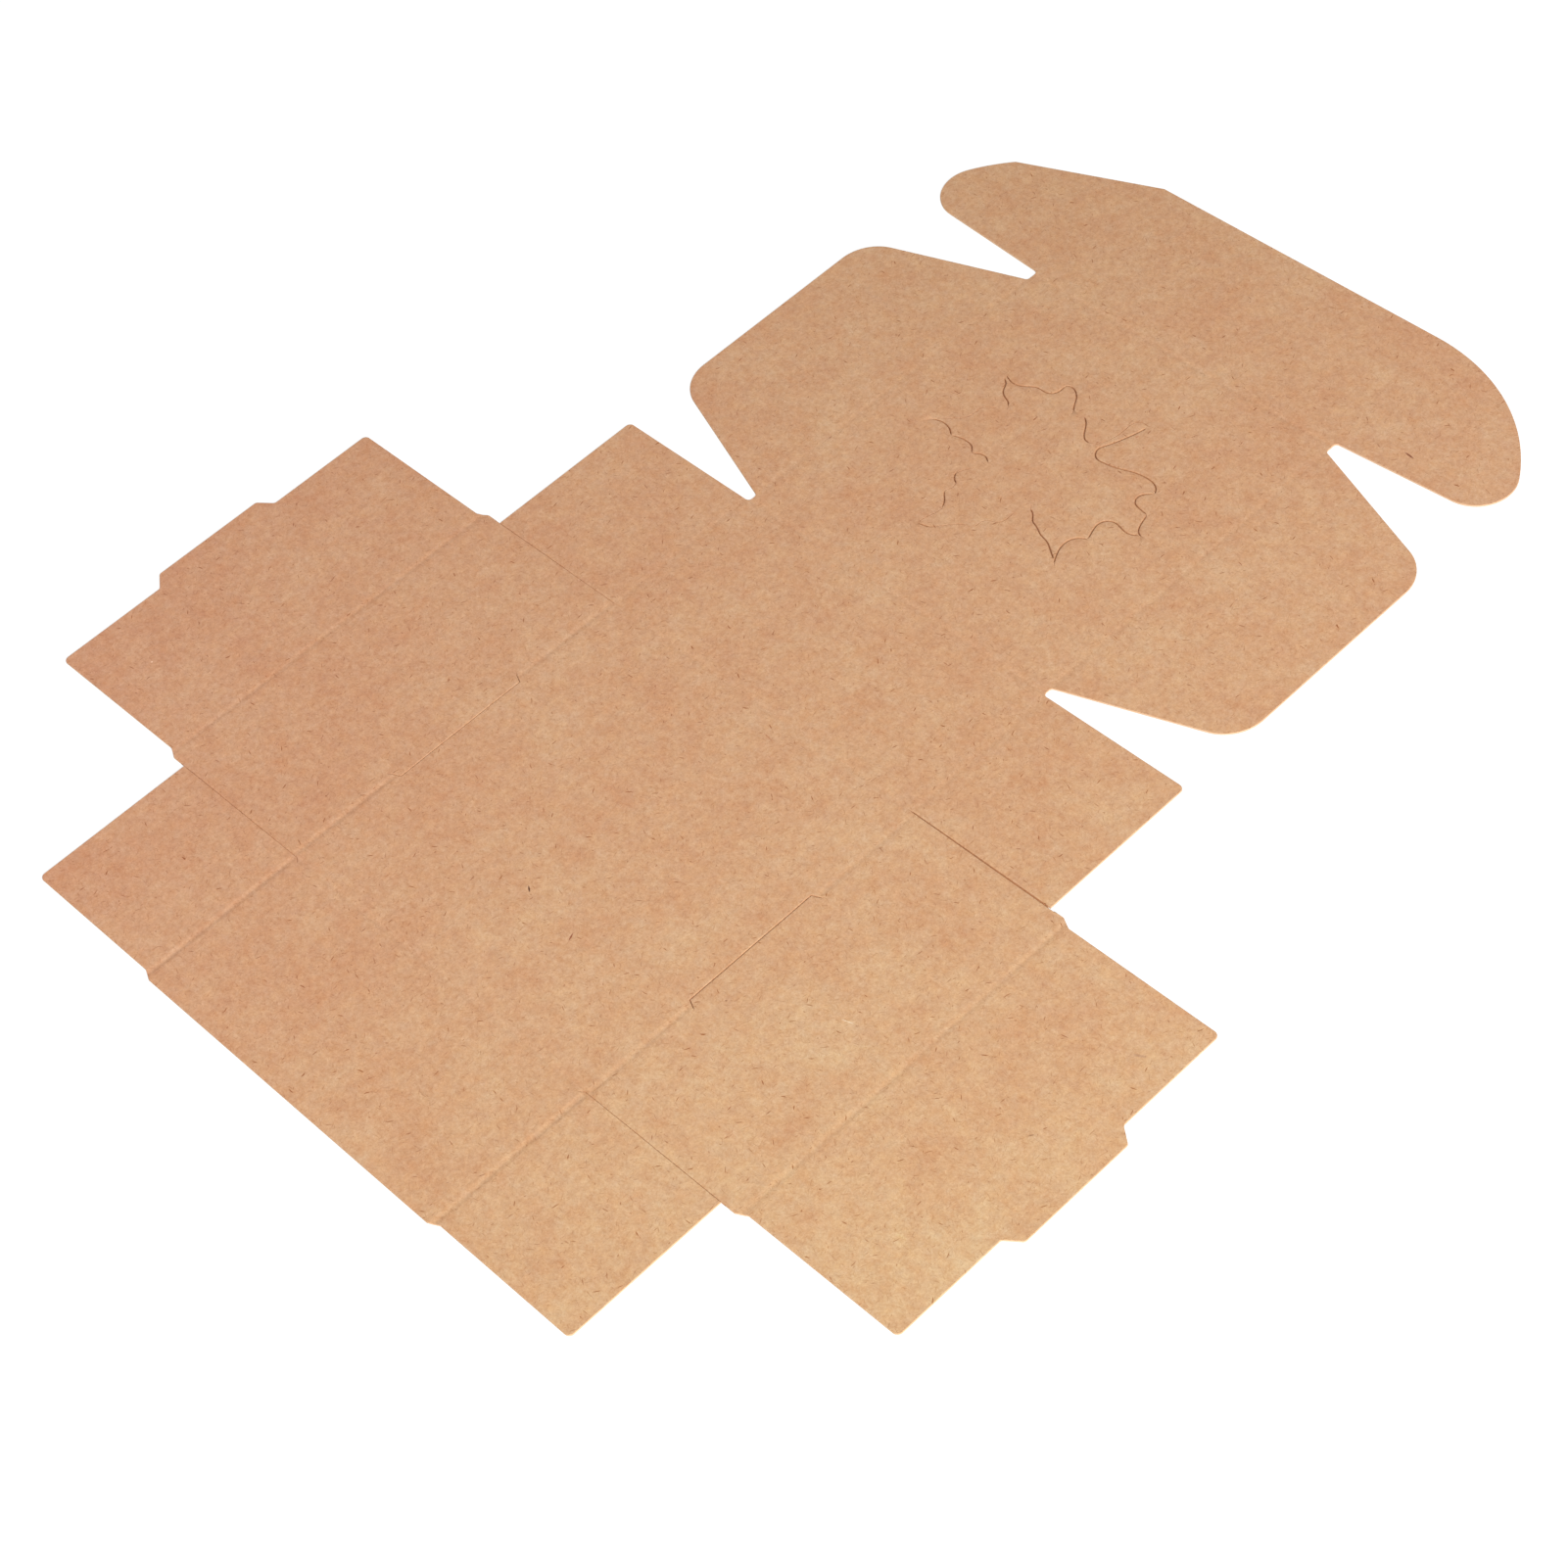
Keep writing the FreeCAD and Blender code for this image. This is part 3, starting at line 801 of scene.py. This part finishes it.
def face_material():
    """Kraft liner: clouded pulp, fine grain, reddish blushes, short fibres and a few flecks, with a
    painted light tint across the sheet and painted shade along the cuts and scored strokes.
    """
    shader, place = card_shader("kraft_face")
    along = shader.add("SeparateXYZ", {0: place}).outputs
    # Painted light: a tint that makes the hue yellower toward the lamp's side (+X) and pinker away from
    # it
    lessening = shader.math("SUBTRACT", 1.0, shader.math("DIVIDE", along["Y"], DRIFT_END))
    painted_light_tint = shader.math("MULTIPLY", along["X"], lessening)
    under = shader.math("LESS_THAN", along["Z"], CARD / 2)
    place = shader.vector("ADD", place, shader.scaled(UNDERSIDE_SHIFT, under))
    shade = shader.noise(place, 40.0, detail=1.0, roughness=0.9)
    clouds = shader.noise(place, 7.5, detail=2.0, roughness=0.9, shift=(31.0, 57.0, 11.0))
    tint = shader.noise(place, 3.0, detail=3.0, roughness=0.9, shift=(17.0, 71.0, 9.0))
    grain = shader.noise(place, 1.0, detail=2.0, roughness=1.0, shift=(7.0, 3.0, 5.0))
    blush = shader.noise(place, 4.0, detail=3.0, roughness=0.75, shift=(91.0, 13.0, 2.0))
    colour = shift_colour(shader, KRAFT, shade, (0.07, 0.22, 0.26))
    # Painted light tint across the sheet
    colour = shift_colour(shader, colour, painted_light_tint, (-0.00026, 0.00043, 0.00012))
    colour = shift_colour(shader, colour, clouds, (0.16, 0.44, 0.54))
    colour = shift_colour(shader, colour, tint, (0.13, -0.02, -0.32))
    colour = shift_colour(shader, colour, grain, (0.55, 0.86, 1.10))
    colour = shift_colour(shader, colour, shader.fade(blush, 0.24, 0.08), (-0.02, -0.07, -0.10))
    dark = [(shader.fibres(place, *layer), strength) for layer, strength in DARK_FIBRES]
    pale = shader.fibres(place, *PALE_FIBRES)
    for layer, strength in dark:
        colour = shift_colour(shader, colour, layer, (-0.7 * strength, -strength, -1.2 * strength))
    colour = shift_colour(shader, colour, pale, (0.07, 0.09, 0.11))
    for x, y, angle, length, width, change in FLECKS:
        fleck = shader.stroke(place, (x, y, 0), math.radians(angle), length, width)
        colour = shift_colour(shader, colour, fleck, change)
    # Painted shade along the cuts' lips and the scored strokes
    painted_cut_shade = shader.add("Attribute", attribute_name="painted_cut_shade").outputs["Fac"]
    colour = shift_colour(shader, colour, painted_cut_shade, (-0.52, -0.67, -0.74))
    raised = shader.math("SUBTRACT", pale, dark[1][0])
    relief = shader.math("ADD", grain, shader.math("MULTIPLY", raised, FIBRE_RELIEF))
    return matt_material(shader, colour, relief, 0.02, 0.85, 0.25)


def edge_material():
    """The cut edge of the card: paler pulp in fine level plies."""
    shader, place = card_shader("kraft_edge")
    flattened = shader.vector("MULTIPLY", place, (0.35, 0.35, 9.0))
    plies = shader.noise(flattened, 1.0, detail=3.0, roughness=0.7)
    grain = shader.noise(place, 0.5, detail=2.0, roughness=0.8)
    colour = shift_colour(shader, KRAFT_EDGE, plies, (0.3, 0.45, 0.55))
    colour = shift_colour(shader, colour, grain, (0.16, 0.2, 0.24))
    return matt_material(shader, colour, shader.math("ADD", plies, grain), 0.03, 0.95, 0.1)


def shaded_kerf_material():
    """The inside of a narrow cut: brown with painted shade, darker than the cut edge's pulp and darker
    still further down, with the grain of torn pulp.
    """
    shader, place = card_shader("kraft_kerf_painted_shade")
    grain = shader.noise(place, 0.6, detail=2.0, roughness=0.8)
    # Painted shade: darker toward the underside, deeper in the cut
    deep = shader.fade(shader.add("SeparateXYZ", {0: place}).outputs["Z"], CARD / 2, CARD)
    colour = shift_colour(shader, KRAFT_KERF_SHADED, grain, (0.8, 0.9, 1.0))
    colour = shift_colour(shader, colour, deep, (-0.22, -0.31, -0.40))
    return matt_material(shader, colour, grain, 0.03, 1.0, 0.0)


# The photograph's camera, which looks at a point of the face; lengths are in millimetres
LOOK_AT = (17.4, 29.6)
CAMERA_DISTANCE = 650.5
CAMERA_AZIMUTH = -35.4
CAMERA_ELEVATION = 49.75
CAMERA_ROLL = -11.55
CAMERA_LENS = 82.33
SENSOR = 36.0

# A plain white studio, in metres: one soft lamp, an even sky and a floor. What the camera sees of
# the floor is part its own colour and part glow, and the glow grows from FAR_FROM to FAR_TO.
KEY_AZIMUTH = -20.0
KEY_ELEVATION = 36.0
KEY_DISTANCE = 1.05
KEY_SIZE = 0.5
KEY_POWER = 12.2
SKY_LEVEL = 0.42
FLOOR_SIZE = 6.0
FLOOR_DROP = 0.00002
FLOOR_COLOUR = (0.8, 0.8, 0.8, 1)
GLOW_SHARE = 0.5
FLOOR_GLOW = 1.45
FAR_GLOW = 1.70
FAR_FROM = 0.35
FAR_TO = 0.9
WHITE = (1, 1, 1, 1)


def from_angles(azimuth, elevation):
    """The direction from the object toward a lamp or a camera."""
    azimuth, elevation = math.radians(azimuth), math.radians(elevation)
    return Vector((math.cos(elevation) * math.cos(azimuth),
                   math.cos(elevation) * math.sin(azimuth), math.sin(elevation)))


def add_object(name, data):
    """A new object of the scene."""
    made = bpy.data.objects.new(name, data)
    bpy.context.scene.collection.objects.link(made)
    return made


def add_camera():
    """The photograph's view, turned by its roll about the line of sight."""
    data = bpy.data.cameras.new("camera")
    data.lens = CAMERA_LENS
    data.sensor_width = SENSOR
    data.clip_start = 0.01
    data.clip_end = 50
    back = from_angles(CAMERA_AZIMUTH, CAMERA_ELEVATION)
    level = Vector((0, 0, 1)).cross(back).normalized()
    turn = Matrix.Rotation(math.radians(CAMERA_ROLL), 3, back)
    right = turn @ level
    up = turn @ back.cross(level)
    place = Vector((*LOOK_AT, CARD)) * MM + back * CAMERA_DISTANCE * MM
    camera = add_object("camera", data)
    camera.matrix_world = Matrix.Translation(place) @ Matrix((right, up, back)).transposed().to_4x4()
    bpy.context.scene.camera = camera


def add_key():
    """A soft round lamp that faces the object."""
    data = bpy.data.lights.new("key", "AREA")
    data.shape = "DISK"
    data.size = KEY_SIZE
    data.energy = KEY_POWER
    key = add_object("key", data)
    away = from_angles(KEY_AZIMUTH, KEY_ELEVATION)
    key.location = Vector((*LOOK_AT, 0)) * MM + away * KEY_DISTANCE
    key.rotation_euler = away.to_track_quat("Z", "Y").to_euler()


def seen_directly(shader):
    """1 for what the camera sees, also mirrored or through glass, and 0 for other light."""
    path = shader.add("LightPath").outputs
    mirrored_or_through = shader.math("MAXIMUM", path["Is Glossy Ray"], path["Is Transmission Ray"])
    return shader.math("MAXIMUM", path["Is Camera Ray"], mirrored_or_through)


def add_sky():
    """Even white light all round, and plain white where the camera sees it."""
    world = bpy.data.worlds.new("studio")
    bpy.context.scene.world = world
    shader = Shader(world)
    level = shader.add("MapRange", {"Value": seen_directly(shader), "To Min": SKY_LEVEL, "To Max": 1.0})
    sky = shader.add("Background", {"Color": WHITE, "Strength": level.outputs["Result"]})
    shader.finish("OutputWorld", sky)


def add_floor():
    """White floor with the sheet's shadow kept, which the camera sees as plain white further off."""
    half = FLOOR_SIZE / 2
    corners = [(-half, -half, 0), (half, -half, 0), (half, half, 0), (-half, half, 0)]
    mesh = bpy.data.meshes.new("floor")
    mesh.from_pydata(corners, [], [(0, 1, 2, 3)])
    floor = add_object("floor", mesh)
    floor.location.z = -FLOOR_DROP
    shader = Shader(bpy.data.materials.new("floor"))
    white = shader.add("BsdfDiffuse", {"Color": FLOOR_COLOUR})
    inputs = {"Value": shader.length(shader.add("TexCoord").outputs["Object"]),
              "From Min": FAR_FROM, "From Max": FAR_TO, "To Min": FLOOR_GLOW, "To Max": FAR_GLOW}
    level = shader.add("MapRange", inputs)
    glow = shader.add("Emission", {"Color": WHITE, "Strength": level.outputs["Result"]})
    share = shader.math("MULTIPLY", seen_directly(shader), GLOW_SHARE)
    mix = shader.add("MixShader", {0: share, 1: white.outputs[0], 2: glow.outputs[0]})
    mesh.materials.append(shader.finish("OutputMaterial", mix))


def add_blank():
    """The sheet, in the order of materials that its faces name."""
    mesh = blank_mesh()
    for make in (face_material, edge_material, shaded_kerf_material):
        mesh.materials.append(make())
    mesh.set_sharp_from_angle(angle=math.radians(SHARP_ANGLE))
    blank = add_object("blank", mesh)
    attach(blank, "root")
    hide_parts("box_blank")


add_blank()
add_floor()
add_key()
add_sky()
add_camera()
bpy.context.scene.view_settings.view_transform = "Standard"
